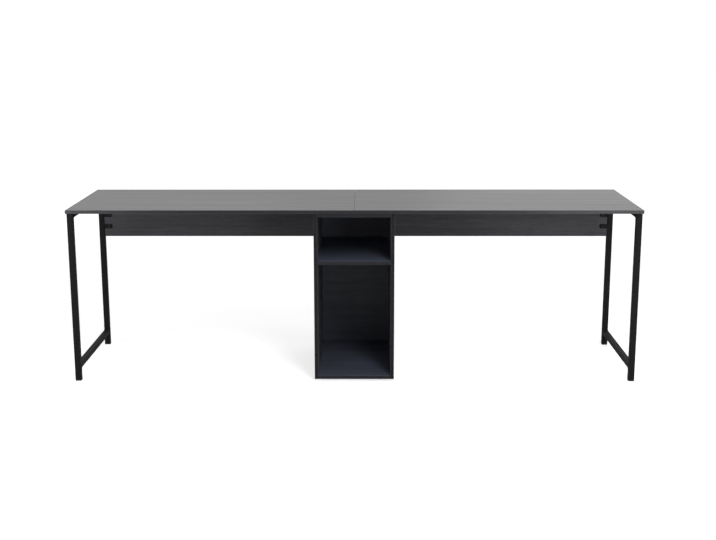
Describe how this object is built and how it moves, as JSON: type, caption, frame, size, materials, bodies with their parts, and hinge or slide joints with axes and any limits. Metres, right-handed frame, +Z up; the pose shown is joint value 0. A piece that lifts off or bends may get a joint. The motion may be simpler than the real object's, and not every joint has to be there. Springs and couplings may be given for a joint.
{
  "type": "benching desk for two",
  "caption": "Long rectangular office desk for people sitting side by side: charcoal worktop halves over a central open pedestal, black steel end frames and rear modesty panels.",
  "frame": {"origin": "on the floor, under the middle of the worktop", "axes": "+X to the right along the desk as the people who sit at it see it, +Y to the rear, +Z up"},
  "size_m": [2.4, 0.6, 0.74],
  "materials": {
    "board": "satin charcoal melamine on chipboard, with matching edge banding",
    "hardboard": "charcoal faced hardboard",
    "frame_steel": "black powder coat, semi-matt",
    "plastic": "black moulded plastic",
    "screw_steel": "blackened steel"
  },
  "bodies": {
    "desk": {"left_worktop": "board", "right_worktop": "board", "left_modesty_panel": "board", "right_modesty_panel": "board", "pedestal_left_side": "board", "pedestal_right_side": "board", "pedestal_top": "board", "pedestal_shelf": "board", "pedestal_bottom": "board", "pedestal_back": "hardboard", "left_front_leg": "frame_steel", "left_rear_leg": "frame_steel", "right_front_leg": "frame_steel", "right_rear_leg": "frame_steel", "left_top_rail": "frame_steel", "right_top_rail": "frame_steel", "left_foot_rail": "frame_steel", "right_foot_rail": "frame_steel", "left_upper_tab": "frame_steel", "left_lower_tab": "frame_steel", "right_upper_tab": "frame_steel", "right_lower_tab": "frame_steel", "left_front_foot_insert": "plastic", "left_rear_foot_insert": "plastic", "right_front_foot_insert": "plastic", "right_rear_foot_insert": "plastic", "pedestal_front_left_glide": "plastic", "pedestal_front_right_glide": "plastic", "pedestal_rear_left_glide": "plastic", "pedestal_rear_right_glide": "plastic", "left_front_rail_screw": "screw_steel", "left_rear_rail_screw": "screw_steel", "right_front_rail_screw": "screw_steel", "right_rear_rail_screw": "screw_steel", "left_upper_tab_screw": "screw_steel", "left_lower_tab_screw": "screw_steel", "right_upper_tab_screw": "screw_steel", "right_lower_tab_screw": "screw_steel", "left_front_worktop_screw": "screw_steel", "left_rear_worktop_screw": "screw_steel", "right_front_worktop_screw": "screw_steel", "right_rear_worktop_screw": "screw_steel", "pedestal_top_front_left_screw": "screw_steel", "pedestal_top_front_right_screw": "screw_steel", "pedestal_top_rear_left_screw": "screw_steel", "pedestal_top_rear_right_screw": "screw_steel", "pedestal_shelf_front_left_screw": "screw_steel", "pedestal_shelf_front_right_screw": "screw_steel", "pedestal_shelf_rear_left_screw": "screw_steel", "pedestal_shelf_rear_right_screw": "screw_steel", "pedestal_bottom_front_left_screw": "screw_steel", "pedestal_bottom_front_right_screw": "screw_steel", "pedestal_bottom_rear_left_screw": "screw_steel", "pedestal_bottom_rear_right_screw": "screw_steel", "left_modesty_screw": "screw_steel", "right_modesty_screw": "screw_steel"},
    "left_front_foot": {"left_front_foot": "plastic"},
    "left_rear_foot": {"left_rear_foot": "plastic"},
    "right_front_foot": {"right_front_foot": "plastic"},
    "right_rear_foot": {"right_rear_foot": "plastic"}
  },
  "joints": [
    {"name": "left_front_foot_height", "type": "slide", "parent": "desk", "child": "left_front_foot", "axis": [0, 0, -1], "range_m": [0, 0.012]},
    {"name": "left_rear_foot_height", "type": "slide", "parent": "desk", "child": "left_rear_foot", "axis": [0, 0, -1], "range_m": [0, 0.012]},
    {"name": "right_front_foot_height", "type": "slide", "parent": "desk", "child": "right_front_foot", "axis": [0, 0, -1], "range_m": [0, 0.012]},
    {"name": "right_rear_foot_height", "type": "slide", "parent": "desk", "child": "right_rear_foot", "axis": [0, 0, -1], "range_m": [0, 0.012]}
  ]
}
